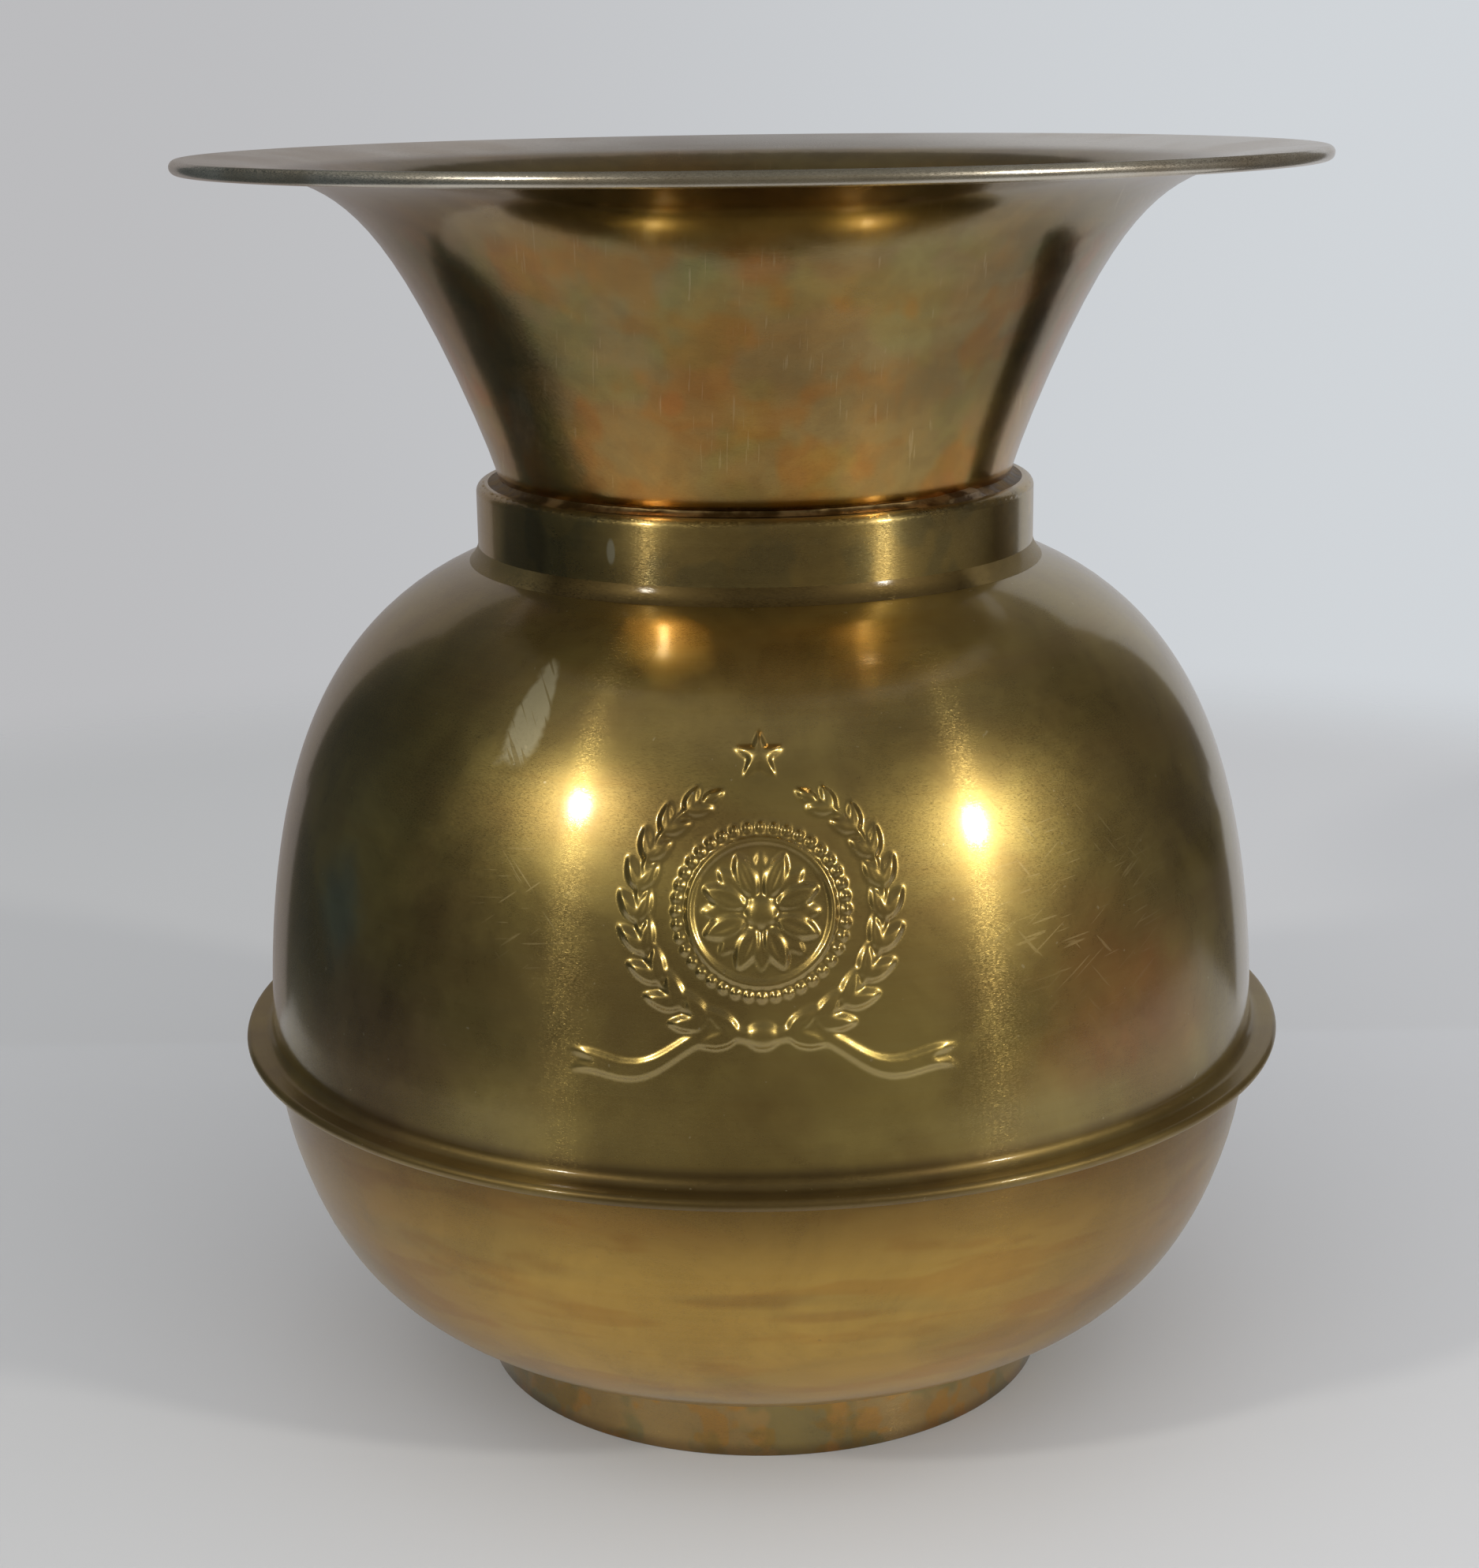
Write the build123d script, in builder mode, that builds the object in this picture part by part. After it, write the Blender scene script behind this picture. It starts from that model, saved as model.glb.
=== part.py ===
"""A brass parlour spittoon: sheet shells with a rolled rim, a neck collar, a folded belly seam and a foot.

Millimetres, +Z up. The origin is the centre of the base, on the surface that the foot stands on.
Every piece is turned about the Z axis, so each section is drawn once, as radius and height, and revolved.
"""
import os
from math import acos, cos, degrees, radians, sin

from build123d import *

# Driving dimensions: the whole, and the gauge that the shells are spun from
height = 267.0
rim_radius = 119.0
seam_radius = 114.4
sheet = 0.8

# Rolled rim
wire_radius = 0.6
wire_clearance = 0.05
brim_slope = 5.0
curl_sweep = 285.0

# Mouth funnel, outer face: its spigot narrows a little below the throat
throat_radius = 54.5
spigot_taper = 1.4
spigot_depth = 12.0
flare_handle_shares = (0.11, 0.38)
flare_pull_shares = [(0.16, 0.41), (0.405, 0.937)]

# Neck collar: its lip stands out from the throat
lip_height = 198.8
lip_width = 5.1
lip_clearance = 0.15
collar_height = 14.6
collar_sheet = 1.0
collar_edge = 1.8

# Upper bowl, outer face: the valley lies between the dome and the outside of the belly seam
valley_width = 5.9
dome_foot_slope = 91.0
shoulder_slope = 19.0
neck_clearance = 0.1
neck_bend = 1.4
valley_bend = 2.4
dome_handle_shares = (0.335, 0.313)
dome_pull_shares = [(0.14, 0.547), (0.195, 0.62)]

# Belly seam, where the edge of the upper bowl is folded round the edge of the lower one
seam_height = 79.5
seam_clearance = 0.05
fold_width = 2.8

# Lower bowl, outer face: its ledge reaches from the side to the outside of the belly seam
base_radius = 55.0
base_height = 14.6
ledge_width = 6.2
bowl_bend = 1.0
bowl_handle_shares = (0.088, 0.33)
bowl_pull_shares = [(0.876, 0.008), (0.784, 0.494)]

# Foot ring
foot_radius = 63.1
foot_sheet = 1.2
foot_edge = 0.3

# Solder: how far each fillet reaches, how hollow its face is, and the bead along the belly seam
neck_solder_leg = 2.6
neck_solder_rise = 1.6
collar_solder_leg = 2.2
collar_solder_rise = 1.4
foot_solder_leg = 2.4
solder_hollow = 0.3
seam_bead_radius = 0.9

os.makedirs("parts", exist_ok=True)


def heading(degrees):
    """Direction of an outline, as an angle from straight outwards towards straight up."""
    return Vector(cos(radians(degrees)), sin(radians(degrees)))


def between(start, end, shares):
    """Points given as a share of the way across and a share of the way up from start to end."""
    reach = end - start
    return [start + Vector(out * reach.X, up * reach.Y) for out, up in shares]


def eased(start, leave, end, arrive, handle_shares, pull_shares):
    """A smooth curve that leaves start and reaches end in the given directions, drawn towards the pulls."""
    span = (end - start).length
    first = start + leave * (span * handle_shares[0])
    last = end - arrive * (span * handle_shares[1])
    return Bezier(start, first, *between(start, end, pull_shares), last, end)


def left_of(curve, share, gap):
    """The point beside a share of the curve's length, a gap to its left."""
    along = curve % share
    return curve @ share + Vector(-along.Y, along.X) * gap


def parallel(curve, gap):
    """The same curve drawn a gap to its left."""
    if curve.geom_type == GeomType.LINE:
        return Line(left_of(curve, 0, gap), left_of(curve, 1, gap))
    if curve.geom_type == GeomType.CIRCLE:
        return ThreePointArc(left_of(curve, 0, gap), left_of(curve, 0.5, gap), left_of(curve, 1, gap))
    steps = 24
    spots = [left_of(curve, step / steps, gap) for step in range(steps + 1)]
    return Spline(*spots, tangents=(curve % 0, curve % 1))


def thicken(gauge, *run):
    """Close a run of curves into the section of a sheet that lies on the left of the run."""
    backs = [parallel(curve, gauge) for curve in run]
    Line(run[0] @ 0, backs[0] @ 0)
    Line(run[-1] @ 1, backs[-1] @ 1)


def solder_fill(toe, top, *backing):
    """The section of a fillet: a hollow face from toe to top, closed through points inside the sheets."""
    SagittaArc(toe, top, solder_hollow)
    Polyline(top, *backing, toe)


# Rim: the edge of the brim is curled round a wire
channel_radius = wire_radius + wire_clearance
bead_radius = channel_radius + sheet
wire_centre = Vector(rim_radius - bead_radius, height - bead_radius)
brim_way = heading(brim_slope)
curl_start = wire_centre + Vector(-brim_way.Y, brim_way.X) * channel_radius

# Mouth funnel: a spigot that hangs inside the neck, the flare, the brim and the curl
throat = Vector(throat_radius, lip_height)
spigot_end = Vector(throat_radius - spigot_taper, lip_height - spigot_depth)

with BuildSketch(Plane.XZ) as funnel_section:
    with BuildLine():
        spigot = TangentArc(spigot_end, throat, tangent=heading(90))
        flare = eased(throat, spigot % 1, curl_start, brim_way, flare_handle_shares, flare_pull_shares)
        curl = JernArc(start=curl_start, tangent=brim_way, radius=channel_radius, arc_size=-curl_sweep)
        thicken(sheet, spigot, flare, curl)
    make_face()

with BuildPart() as mouth_funnel:
    revolve(funnel_section.sketch, axis=Axis.Z)
mouth_funnel.part.label = "mouth_funnel"
export_step(mouth_funnel.part, "parts/mouth_funnel.step")

with BuildPart() as rim_wire:
    with BuildSketch(Plane.XZ):
        with Locations(wire_centre):
            Circle(wire_radius)
    revolve(axis=Axis.Z)
rim_wire.part.label = "rim_wire"
export_step(rim_wire.part, "parts/rim_wire.step")

# Neck collar: a band with its top edge turned in to a lip round the funnel
collar_radius = throat_radius + lip_width
neck_base_height = lip_height - collar_height

with BuildSketch(Plane.XZ) as collar_section:
    with BuildLine():
        band = Line((collar_radius, neck_base_height), (collar_radius, lip_height - collar_edge))
        turn = JernArc(start=band @ 1, tangent=heading(90), radius=collar_edge, arc_size=90)
        lip = Line(turn @ 1, (throat_radius + lip_clearance, lip_height))
        thicken(collar_sheet, band, turn, lip)
    make_face()

with BuildPart() as neck_collar:
    revolve(collar_section.sketch, axis=Axis.Z)
neck_collar.part.label = "neck_collar"
export_step(neck_collar.part, "parts/neck_collar.step")

# Upper bowl: hem, flange, valley, dome, and a neck that stands up inside the collar
fold_radius = (3 * sheet + 2 * seam_clearance) / 2
fold_centre = Vector(seam_radius - fold_radius, seam_height)
hem_height = seam_height - fold_radius
flange_height = seam_height + fold_radius
dome_way = heading(dome_foot_slope)
dome_foot = Vector(seam_radius - valley_width, flange_height + valley_bend * (1 + dome_way.X))
valley_start = Vector(dome_foot.X + valley_bend * dome_way.Y, flange_height)
neck_radius = collar_radius - collar_sheet - neck_clearance
neck_top = lip_height - collar_edge - neck_clearance
shoulder_way = heading(180 - shoulder_slope)
shoulder = Vector(neck_radius + neck_bend, neck_base_height)
shoulder += Vector(-shoulder_way.Y, shoulder_way.X) * neck_bend

with BuildSketch(Plane.XZ) as upper_section:
    with BuildLine():
        hem = Line((fold_centre.X - fold_width, hem_height), (fold_centre.X, hem_height))
        fold = JernArc(start=hem @ 1, tangent=heading(0), radius=fold_radius, arc_size=180)
        flange = Line(fold @ 1, valley_start)
        valley = JernArc(valley_start, heading(180), radius=valley_bend, arc_size=dome_foot_slope - 180)
        dome = eased(dome_foot, dome_way, shoulder, shoulder_way, dome_handle_shares, dome_pull_shares)
        bend = JernArc(start=shoulder, tangent=shoulder_way, radius=neck_bend, arc_size=shoulder_slope - 90)
        neck = Line(bend @ 1, (neck_radius, neck_top))
        thicken(sheet, hem, fold, flange, valley, dome, bend, neck)
    make_face()

with BuildPart() as upper_bowl:
    revolve(upper_section.sketch, axis=Axis.Z)
upper_bowl.part.label = "upper_bowl"
export_step(upper_bowl.part, "parts/upper_bowl.step")

# Lower bowl: flat base, round side, and a ledge that the upper bowl's hem is folded round
ledge_height = seam_height - sheet / 2
bowl_rim = Vector(seam_radius - ledge_width, ledge_height - bowl_bend)
base_edge = Vector(base_radius, base_height)

with BuildSketch(Plane.XZ) as lower_section:
    with BuildLine():
        base = Line((0, base_height), base_edge)
        side = eased(base_edge, heading(0), bowl_rim, heading(90), bowl_handle_shares, bowl_pull_shares)
        turnout = JernArc(start=bowl_rim, tangent=heading(90), radius=bowl_bend, arc_size=-90)
        ledge = Line(turnout @ 1, (fold_centre.X, ledge_height))
        thicken(sheet, base, side, turnout, ledge)
    make_face()

with BuildPart() as lower_bowl:
    revolve(lower_section.sketch, axis=Axis.Z)
lower_bowl.part.label = "lower_bowl"
export_step(lower_bowl.part, "parts/lower_bowl.step")

# Foot ring: a plain band, cut off at the top where it meets the round of the lower bowl
foot_bore = foot_radius - foot_sheet

with BuildSketch(Plane.XZ) as foot_band:
    with Locations((foot_bore, 0)):
        Rectangle(foot_sheet, seam_height, align=(Align.MIN, Align.MIN))
    add(lower_section.sketch_local, mode=Mode.SUBTRACT)
foot_face = foot_band.sketch.faces().sort_by(Axis.Z)[0]

with BuildPart() as foot_ring:
    revolve(foot_face, axis=Axis.Z)
    fillet(foot_ring.edges().group_by(Axis.Z)[0], radius=foot_edge)
foot_ring.part.label = "foot_ring"
export_step(foot_ring.part, "parts/foot_ring.step")

# Solder at the neck, in the corner between the funnel and the collar's lip
with BuildSketch(Plane.XZ) as neck_fill:
    with BuildLine():
        solder_fill(
            (throat_radius + neck_solder_leg, lip_height),
            (throat_radius, lip_height + neck_solder_rise),
            (throat_radius - sheet / 3, lip_height + neck_solder_rise),
            (throat_radius - sheet / 3, lip_height),
        )
    make_face()
    add(funnel_section.sketch_local, mode=Mode.SUBTRACT)

with BuildPart() as neck_solder:
    revolve(neck_fill.sketch, axis=Axis.Z)
neck_solder.part.label = "neck_solder"
export_step(neck_solder.part, "parts/neck_solder.step")

# Solder under the collar, between its lower edge and the shoulder of the upper bowl
shoulder_fall = (collar_radius + collar_solder_leg - shoulder.X) * shoulder_way.Y / -shoulder_way.X

with BuildSketch(Plane.XZ) as collar_fill:
    with BuildLine():
        solder_fill(
            (collar_radius + collar_solder_leg, shoulder.Y - shoulder_fall - sheet / 4),
            (collar_radius, neck_base_height + collar_solder_rise),
            (collar_radius, neck_base_height),
            (neck_radius - sheet / 2, neck_base_height),
            (neck_radius - sheet / 2, neck_base_height - sheet),
        )
    make_face()
    add(upper_section.sketch_local, mode=Mode.SUBTRACT)

with BuildPart() as collar_solder:
    revolve(collar_fill.sketch, axis=Axis.Z)
collar_solder.part.label = "collar_solder"
export_step(collar_solder.part, "parts/collar_solder.step")

# Solder that seals the belly seam: a bead that lies in the groove, on the bends of both bowls
lower_bend = bowl_rim + Vector(bowl_bend, 0)
upper_bend = valley_start + Vector(0, valley_bend)
groove = upper_bend - lower_bend
bead_to_lower = seam_bead_radius + sheet + bowl_bend
bead_to_upper = seam_bead_radius + sheet + valley_bend
bead_reach = (bead_to_lower**2 + groove.length**2 - bead_to_upper**2) / (2 * groove.length)
bead_turn = acos(bead_reach / bead_to_lower)
bead_way = groove.normalized().rotate(Axis.Z, degrees(bead_turn))

with BuildPart() as seam_solder:
    with BuildSketch(Plane.XZ):
        with Locations(lower_bend + bead_way * bead_to_lower):
            Circle(seam_bead_radius)
    revolve(axis=Axis.Z)
seam_solder.part.label = "seam_solder"
export_step(seam_solder.part, "parts/seam_solder.step")

# Solder inside the foot, between the ring and the underside of the lower bowl
foot_corner = foot_face.vertices().group_by(Axis.X)[0].sort_by(Axis.Z)[-1]

with BuildSketch(Plane.XZ) as foot_fill:
    with BuildLine():
        solder_fill(
            (foot_bore - foot_solder_leg, foot_corner.Z + sheet / 4),
            (foot_bore, foot_corner.Z - foot_solder_leg),
            (foot_bore + foot_sheet / 2, foot_corner.Z - foot_solder_leg),
            (foot_bore + foot_sheet / 2, foot_corner.Z + sheet / 2),
        )
    make_face()
    add(lower_section.sketch_local, mode=Mode.SUBTRACT)
    add(foot_band.sketch_local, mode=Mode.SUBTRACT)

with BuildPart() as foot_solder:
    revolve(foot_fill.sketch, axis=Axis.Z)
foot_solder.part.label = "foot_solder"
export_step(foot_solder.part, "parts/foot_solder.step")
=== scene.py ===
"""Looks of a brass parlour spittoon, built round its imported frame. Metres, +Z up, the front towards -Y."""
from math import cos, pi, radians, sin

import bpy
import numpy as np
from mathutils import Matrix, Vector
from mathutils.noise import noise as noise_at

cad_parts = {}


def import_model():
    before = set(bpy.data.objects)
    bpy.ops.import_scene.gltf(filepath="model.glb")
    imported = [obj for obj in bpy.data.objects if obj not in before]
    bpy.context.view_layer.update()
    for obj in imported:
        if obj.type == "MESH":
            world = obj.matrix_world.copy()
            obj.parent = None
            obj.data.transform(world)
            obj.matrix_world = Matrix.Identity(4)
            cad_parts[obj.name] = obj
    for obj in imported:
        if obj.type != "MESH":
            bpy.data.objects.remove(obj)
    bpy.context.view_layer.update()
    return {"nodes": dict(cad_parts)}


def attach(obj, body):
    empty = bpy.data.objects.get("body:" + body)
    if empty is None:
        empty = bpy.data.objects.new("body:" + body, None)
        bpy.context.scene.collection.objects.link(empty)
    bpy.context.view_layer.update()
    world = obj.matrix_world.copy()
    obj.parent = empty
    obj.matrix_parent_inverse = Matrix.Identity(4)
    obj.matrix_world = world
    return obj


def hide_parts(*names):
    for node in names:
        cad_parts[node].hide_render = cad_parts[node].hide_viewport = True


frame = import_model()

mm = 0.001

# Camera, at the photograph's viewing angle
photo_height = 1988
focal_pixels = 3405.0
sensor_width = 36.0
camera_place = Vector((-1.66, -574.17, 284.11)) * mm
camera_pitch = 0.2620
camera_yaw = -0.0043
camera_roll = -0.0134

# Lamps: azimuth from the front, elevation and power
lamp_distance = 1.6
lamp_size = 0.12
lamp_places = {"lamp_left": (-47, 31.5, 5.4), "lamp_right": (53.5, 23.5, 7.0)}
lamp_colour = (1.0, 0.93, 0.8)

# Stage: a pale floor that fades into a pale backdrop, each from its left colour to its right one. The darker
# left of both is painted shade.
floor_radius = 0.75
floor_fade = 0.2
floor_corners = 128
floor_left = (0.56, 0.58, 0.615)
floor_right = (0.65, 0.675, 0.725)
paper_reach = 0.3
paper_roughness = 0.5
paper_specular = 0.3
backdrop_left = (0.5, 0.5, 0.512)
backdrop_right = (0.64, 0.67, 0.7)
backdrop_turn = 0.28
fill_front = (1.3, 1.28, 1.24)
fill_back = (0.3, 0.3, 0.31)
fill_turn = 0.7

# What the metal mirrors: a pale table and a pale board behind it, a dark shade, and a dim room round them.
# The table has painted shade towards its front and sides and on its left; the board is a glowing card, not
# a lamp, with painted shade on its left; the shade is a painted shadow of the object on the table.
table_near_left = (0.55, 0.56, 0.575)
table_near_right = (0.62, 0.63, 0.65)
table_left = -0.315
table_right = 0.55
table_front = -0.36
table_height = 0.05 * mm
table_dim = 0.21
table_side = 0.7
table_side_fades = [(0.12, 0.36), (-0.22, -0.34)]
table_dark = 0.6
board_place = 0.19
board_half_width = 0.255
board_foot = 0.277
board_foot_height = 0.115
board_height = 0.345
board_left = (0.25, 0.225, 0.215)
board_right = (0.5, 0.5, 0.51)
board_top_from = 0.4
board_top_dim = 0.95
shade_height = 0.1
shade_edge = [(0.188, 0.058), (0.215, 0.048), (0.245, 0.066), (0.6, 0.066), (0.6, 0.19),
              (0.28, 0.19), (0.239, 0.152), (0.215, 0.118), (0.195, 0.087)]
shade_colour = (0.012, 0.01, 0.008)
room_left = (0.035, 0.042, 0.042)
room_right = (0.08, 0.07, 0.055)
room_turn = 0.6
room_front = (0.16, 0.14, 0.1)
room_front_fade = (-0.35, -0.95)
ceiling = (0.2, 0.19, 0.16)
ceiling_fade = (0.45, 0.9)
room_noise = (1.7, 3.0)
room_unevenness = (0.3, 0.7, 0.7, 1.3)

# Upper bowl: how finely its wall is meshed, and the part of it that carries the ornament
round_step = 1.0
front_step = 0.16
front_angle = 23.0
row_step = 0.35 * mm
zone_low = 88 * mm
zone_high = 171 * mm
crease_angle = 40.0

# Ornament: a rosette in a beaded ring, between two laurel branches tied with a ribbon, and a star above.
# Each rise is a share of the relief.
ornament_height = 133 * mm
relief = 1.4 * mm
roundness = 0.6
boss_radius = 3.2 * mm
petal_count = 8
petal_root = 3.0 * mm
petal_length = 8.8 * mm
petal_width = 2.5 * mm
inner_petal_size = 0.6
ring_radius = 13.4 * mm
ring_width = 0.8 * mm
ring_rise = 0.75
bead_count = 40
bead_radius = 1.05 * mm
bead_ring = 15.7 * mm
bead_rise = 0.8
branch_radius = 23.0 * mm
branch_foot = 5.0
branch_tip = 152.0
leaf_pairs = 10
leaf_length = 8.2 * mm
leaf_width = 1.8 * mm
leaf_spread = 27.0
leaf_start = 0.4
leaf_taper = 0.35
leaf_point = 0.8
midrib_depth = 0.45
midrib_width = 0.22
tip_leaf_size = 0.6
stem_width = 0.5 * mm
stem_rise = 0.6
berry_start = 0.5
berry_out = 1.1
berry_size = 0.45
berry_rise = 0.7
star_points = 5
star_height = 29.5 * mm
star_radius = 5.4 * mm
star_notch = 0.42
star_side = 5
star_foot = 0.5
knot_size = 2.6 * mm
knot_stretch = 1.3
ribbon_reach = 38.0 * mm
ribbon_fall = 8.5 * mm
ribbon_wave = 2.0 * mm
ribbon_turns = 1.3
ribbon_width = 2.3 * mm
ribbon_narrow = 0.55
ribbon_widening = 0.45
ribbon_fork = 0.1
ribbon_side = 4
ribbon_end = 12
ribbon_hollow = 0.35
ribbon_rise = 0.7
soften_passes = 3

# Solder at the neck: how lumpy it is, most of all on the right of the front
solder_sink = 0.3 * mm
lump_height = 0.3 * mm
lump_turns = 3
lump_share = 0.5
fine_lump_turns = 14
fine_lump_shift = 5
fine_lump_share = 0.35
lump_peak = 1.2 * mm
lump_peak_foot = 0.6
lump_place = 50.0
lump_width = 9.0
seam_slack = 0.05 * mm

# Tones of the brass: ground, clouds, drift and lathe lines
funnel_tones = [(0.27, 0.2, 0.075), (0.36, 0.215, 0.06), (0.35, 0.26, 0.105), (0.32, 0.225, 0.08)]
collar_tones = [(0.34, 0.25, 0.095), (0.46, 0.34, 0.12), (0.42, 0.28, 0.11), (0.48, 0.37, 0.15)]
joint_tones = [(0.22, 0.17, 0.07), (0.29, 0.22, 0.085), (0.26, 0.185, 0.07), (0.32, 0.25, 0.1)]
dome_tones = [(0.38, 0.28, 0.09), (0.5, 0.38, 0.12), (0.44, 0.31, 0.1), (0.5, 0.4, 0.15)]
bowl_tones = [(0.43, 0.265, 0.055), (0.57, 0.355, 0.075), (0.51, 0.295, 0.06), (0.53, 0.345, 0.085)]
foot_tones = [(0.36, 0.24, 0.085), (0.5, 0.32, 0.1), (0.4, 0.32, 0.135), (0.46, 0.31, 0.11)]

# Structure of the brass. A noise is its scale per metre, detail, roughness and distortion. A stretch makes
# it finer along the outline than round it. A range gives two values of the noise, and what they are turned
# into where that isn't 0 and 1.
cloud_noise = (28.0, 6.0, 0.62, 0.4)
cloud_range = (0.36, 0.66)
cloud_gloss = (0.3, 0.7, 0.9, 1.15)
drift_noise = (12.6, 4.0, 0.55, 0.6)
drift_stretch = (1.0, 1.0, 3.0)
drift_range = (0.46, 0.68, 0.0, 0.8)
line_noise = (1.0, 3.0, 0.6)
line_stretch = (6.0, 6.0, 900.0)
line_range = (0.3, 0.7, 0.0, 0.2)
line_strength = 0.04
line_depth = 0.05 * mm
swell_noise = (16.0, 2.0, 0.5)
swell_strength = 0.12
swell_depth = 0.6 * mm
grain_noise = (1.0, 1.0)
grain_stretch = (1500.0, 1500.0, 50000.0)

# Hairline grooves left by the lathe: how far they tilt the metal and the coat over it
groove_stretch = (1200.0, 1200.0, 60000.0)
groove_tilt = 5.0
coat_tilt = 0.1
coat_roughness = 0.1
coat_index = 1.5
thin_coat = 0.4
brushed_along = 0.25

# Stains and painted light on the brass: middle and reach in millimetres, softness, raggedness and its scale,
# and tint. Entries that are painted light say so.
funnel_stains_and_painted_reflection = [
    # Painted reflection: brighter and bluer under the front of the rim
    ((0, -85, 257), (70, 60, 9), 0.2, 0.3, 120.0, (1.5, 1.6, 2.0)),
    ((-15.7, -61, 221.7), (3.2, 20, 3.4), 0.4, 0.6, 120.0, (1.1, 0.86, 0.68)),
    ((2, -76.6, 247.7), (7, 20, 5), 0.4, 0.6, 120.0, (1.1, 0.88, 0.75)),
    ((-9.4, -76, 248), (7, 20, 5), 0.4, 0.6, 120.0, (0.92, 1.04, 1.12)),
]
# Painted reflection on the left of the funnel: a dark sliver, and beside it a lighter patch that is partly
# scuffed brass and partly painted reflection
funnel_left_scuff_and_painted_reflection = [
    ((-41.5, -28, 203), (5.5, 16, 13), 0.1, 0.3, 120.0, (0.7, 0.7, 0.72)),
    ((-56, -26, 228), (12, 24, 26), 0.4, 0.3, 120.0, (1.5, 1.45, 1.5)),
]
# Painted reflection: the collar darker towards both ends of its front, where it mirrors the dark room
collar_painted_dark_ends = [
    ((-47, -36, 190), (7.5, 14, 16), 0.6, 0.2, 120.0, (0.62, 0.6, 0.6)),
    ((51.5, -29, 190), (5, 14, 16), 0.6, 0.2, 120.0, (0.75, 0.73, 0.7)),
]
dome_stains_and_painted_light = [
    ((-84, -62, 122), (9, 15, 17), 0.2, 0.6, 120.0, (0.62, 0.84, 1.6)),
    ((-78, -72, 98), (34, 40, 28), 0.2, 0.4, 50.0, (0.66, 0.6, 0.8)),
    ((-60, -84, 128), (17, 20, 20), 0.1, 0.6, 120.0, (0.86, 0.8, 0.85)),
    # Reddish on the lower right: partly tarnish and partly painted warm reflection
    ((66, -80, 112), (24, 26, 26), 0.0, 0.6, 120.0, (1.1, 0.86, 0.84)),
    ((58, -84, 100), (22, 22, 13), 0.0, 0.6, 120.0, (1.12, 0.9, 0.76)),
    # Painted reflection: pinkish, on the lower right
    ((78, -70, 102), (20, 30, 24), 0.1, 0.4, 120.0, (1.12, 0.86, 0.9)),
    # Darker on the lower left
    ((-46, -96, 112), (26, 26, 24), 0.2, 0.4, 120.0, (0.76, 0.75, 0.78)),
    # Painted reflection: brighter and bluer on the upper front, between the highlights
    ((1, -83, 167), (30, 30, 13), 0.1, 0.4, 120.0, (1.7, 1.75, 2.0)),
    # Painted shade: darker over the glow below the left highlight
    ((-34, -97, 131), (15, 18, 12), 0.1, 0.3, 120.0, (0.72, 0.72, 0.74)),
]
bowl_stains = [
    ((-3, -105, 56), (22, 20, 2.4), 0.3, 0.6, 120.0, (0.84, 0.86, 0.95)),
    ((12, -103, 51.6), (16, 20, 1.8), 0.3, 0.6, 120.0, (0.86, 0.8, 0.8)),
]

# Places of single marks and of painted light and shade, given as the stains are, without a tint
rim_painted_reflection_middle = ((0, 0, 265), (84, 200, 30), 0.5, 0.1)
funnel_scuff = ((-46.2, -39.8, 216.7), (3.5, 20, 10))
solder_residue = ((43, -35, 198), (9, 12, 4), 0.4, 0.4)
collar_scuff = ((-28.6, -52.3, 191.8), (1.0, 8, 3.0), 0.6, 0.2)
collar_middle_without_sheen = ((0, -60, 190), (54, 80, 40), 0.9, 0.1)
joint_painted_shade_front = ((0, -62, 180), (50, 62, 40), 0.85, 0.1)
dome_scuff = ((-42.8, -74.4, 165.3), (3.6, 14, 12), 0.7, 0.5, 300.0)
dome_scuff_slope = 0.425
dome_scuff_taper = 0.05
dome_scratched = [((62, -80, 128), (30, 30, 30), 0.2), ((-44, -90, 132), (12, 16, 16), 0.3)]
seam_front_painted_shade = ((0, -118, 80), (95, 70, 20), 0.3, 0.2)
bowl_middle = ((-5, -110, 50), (88, 90, 80), 0.5, 0.2, 40.0)

# Bands, some of them painted shade, between the heights in millimetres where they start and where they are
# full
worn_rim = (263.5, 265)
funnel_body = (256, 250)
seam_band = (85.5, 83)
dome_coat = (82.5, 85)
# The second funnel band is painted shade, darker and browner in the crease where the funnel meets the collar
funnel_bands = [(232, 198, (1.75, 1.6, 1.25)), (203, 198.5, (0.7, 0.5, 0.3))]
dome_bands = [(*seam_band, (0.8, 0.79, 0.9)), (79, 77.5, (1.0, 0.7, 0.62))]
# Painted shade: the lower bowl darker towards its top, under the overhang of the bead
bowl_painted_shade_band = [(56, 76, (0.62, 0.6, 0.64))]
# Painted contact shadow along the foot's lower edge
foot_painted_contact_shadow = [(3.5, 0.5, (0.55, 0.5, 0.45))]

# Tarnish in soft patches: shift, scale per metre, the noise where they start and are full, and tint
funnel_body_tarnish = [
    (0.3, 62.0, 0.47, 0.62, (0.95, 1.04, 0.9)),
    (0.9, 70.0, 0.5, 0.64, (1.14, 0.9, 0.62)),
]
funnel_tarnish = [
    (1.7, 30.0, 0.42, 0.66, (0.872, 0.856, 0.84)),
    (2.7, 150.0, 0.38, 0.64, (0.88, 0.86, 0.84)),
]
rim_tarnish = [(3.1, 30.0, 0.45, 0.65, (0.8, 0.74, 0.66))]
collar_tarnish = [(0.5, 80.0, 0.5, 0.6, (0.8, 0.85, 0.95))]
dome_tarnish = [
    (0.7, 22.0, 0.5, 0.68, (0.82, 0.8, 0.78)),
    (1.9, 75.0, 0.42, 0.66, (0.9, 0.88, 0.9)),
]
bowl_tarnish = [
    (0.4, 60.0, 0.5, 0.62, (0.91, 0.838, 0.775)),
    (1.2, 36.0, 0.52, 0.66, (0.888, 0.92, 1.0)),
]
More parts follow.
